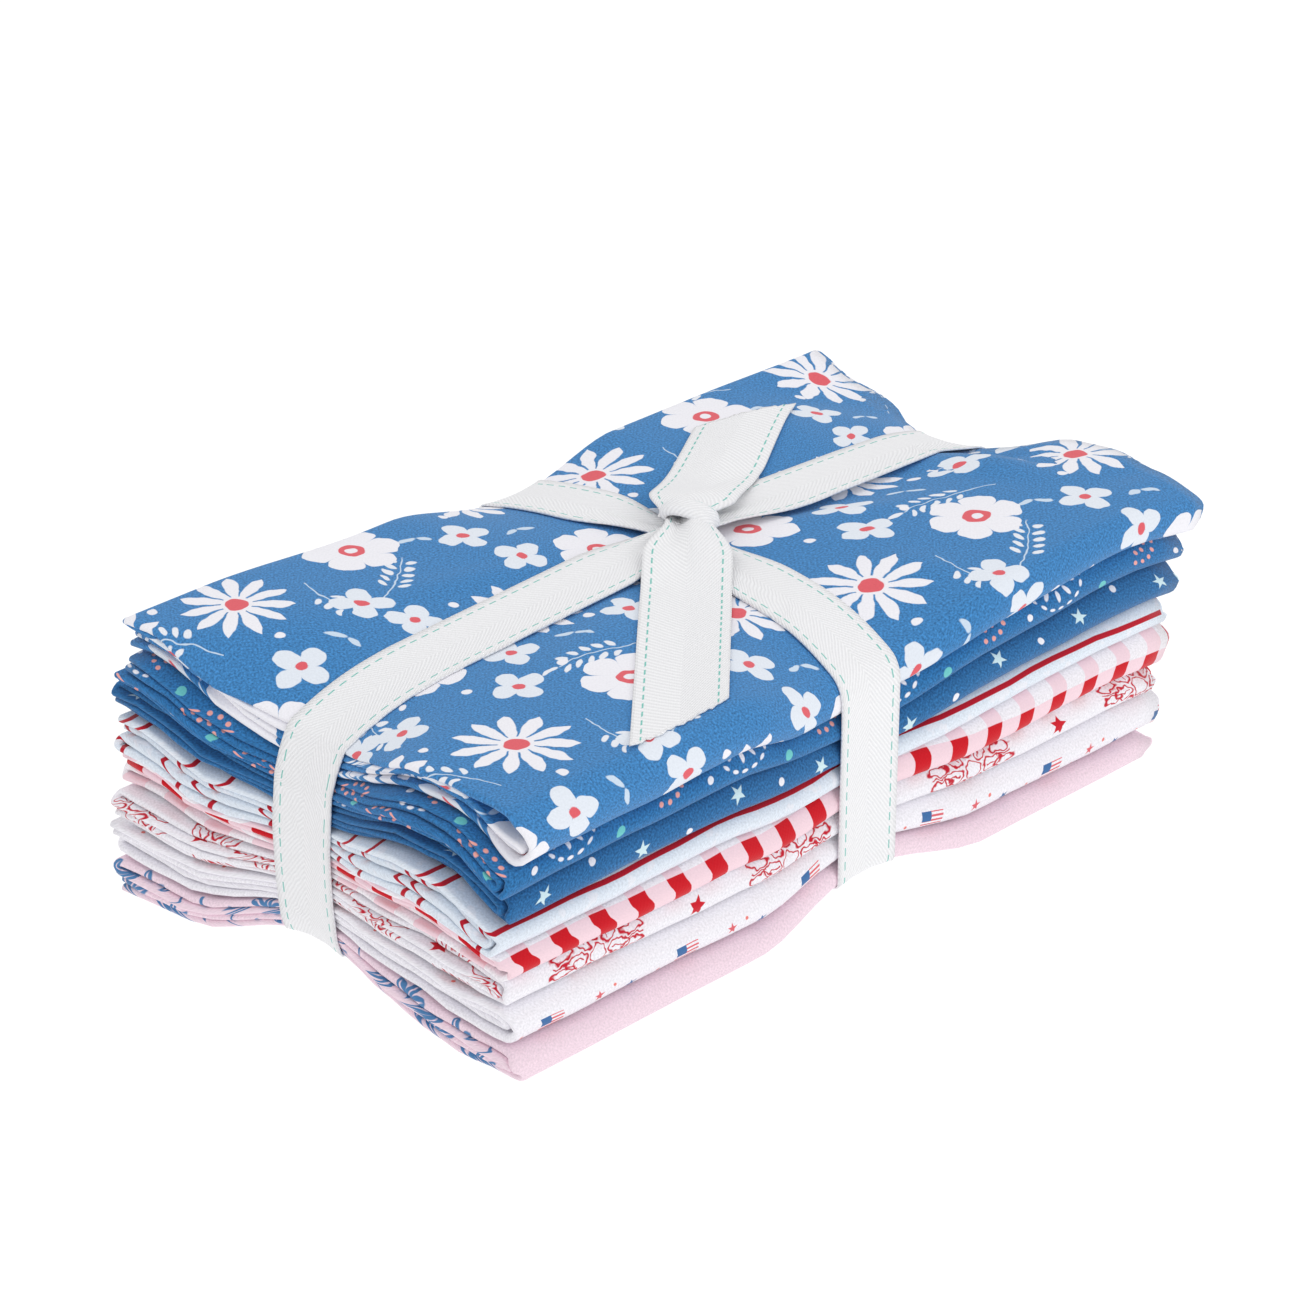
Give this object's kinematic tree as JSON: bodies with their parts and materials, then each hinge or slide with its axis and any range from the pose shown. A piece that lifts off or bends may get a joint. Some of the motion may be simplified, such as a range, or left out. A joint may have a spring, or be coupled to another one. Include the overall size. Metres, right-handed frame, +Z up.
{
  "type": "fabric bundle",
  "caption": "Bundle of folded quilting-cotton cuts in mixed prints, stacked and tied lengthwise and crosswise with a twill ribbon knotted on top",
  "frame": {"origin": "on the surface that the bundle rests on, under the middle of its outline seen from above", "axes": "+X along the long side, away from the end that shows the ridges of the folded layers, +Y from the broad front folds to the back, +Z up through the stack"},
  "size_m": [0.2471, 0.1385, 0.0774],
  "materials": {
    "pink_cotton": "matt plain weave, pink, printed with small blue sprigs",
    "flag_cotton": "matt plain weave, white, printed with small flags, stars and dots",
    "red_line_cotton": "matt plain weave, white, printed with red line-drawn sprays and small red stars",
    "gingham_cotton": "matt plain weave in red, pink and white gingham",
    "striped_cotton": "matt plain weave, pale blue with thin red lines",
    "star_cotton": "matt plain weave, mid blue with pale mint stars and white dots",
    "dotted_cotton": "matt plain weave, blue with white dashes and coral and mint dots",
    "daisy_cotton": "matt plain weave, blue with white daisies, pale blossoms and thin sprigs",
    "ribbon_twill": "soft white cotton twill tape, 22 mm wide, with cut ends that fray a little"
  },
  "bodies": {
    "root": {"cut_pink": "pink_cotton", "cut_flags": "flag_cotton", "cut_red_line": "red_line_cotton", "cut_gingham": "gingham_cotton", "cut_stripe": "striped_cotton", "cut_stars": "star_cotton", "cut_dots": "dotted_cotton", "cut_daisies": "daisy_cotton", "ribbon_crosswise": "ribbon_twill", "ribbon_lengthwise": "ribbon_twill", "ribbon_knot": "ribbon_twill", "ribbon_tail_front": "ribbon_twill", "ribbon_tail_back": "ribbon_twill"}
  },
  "joints": []
}
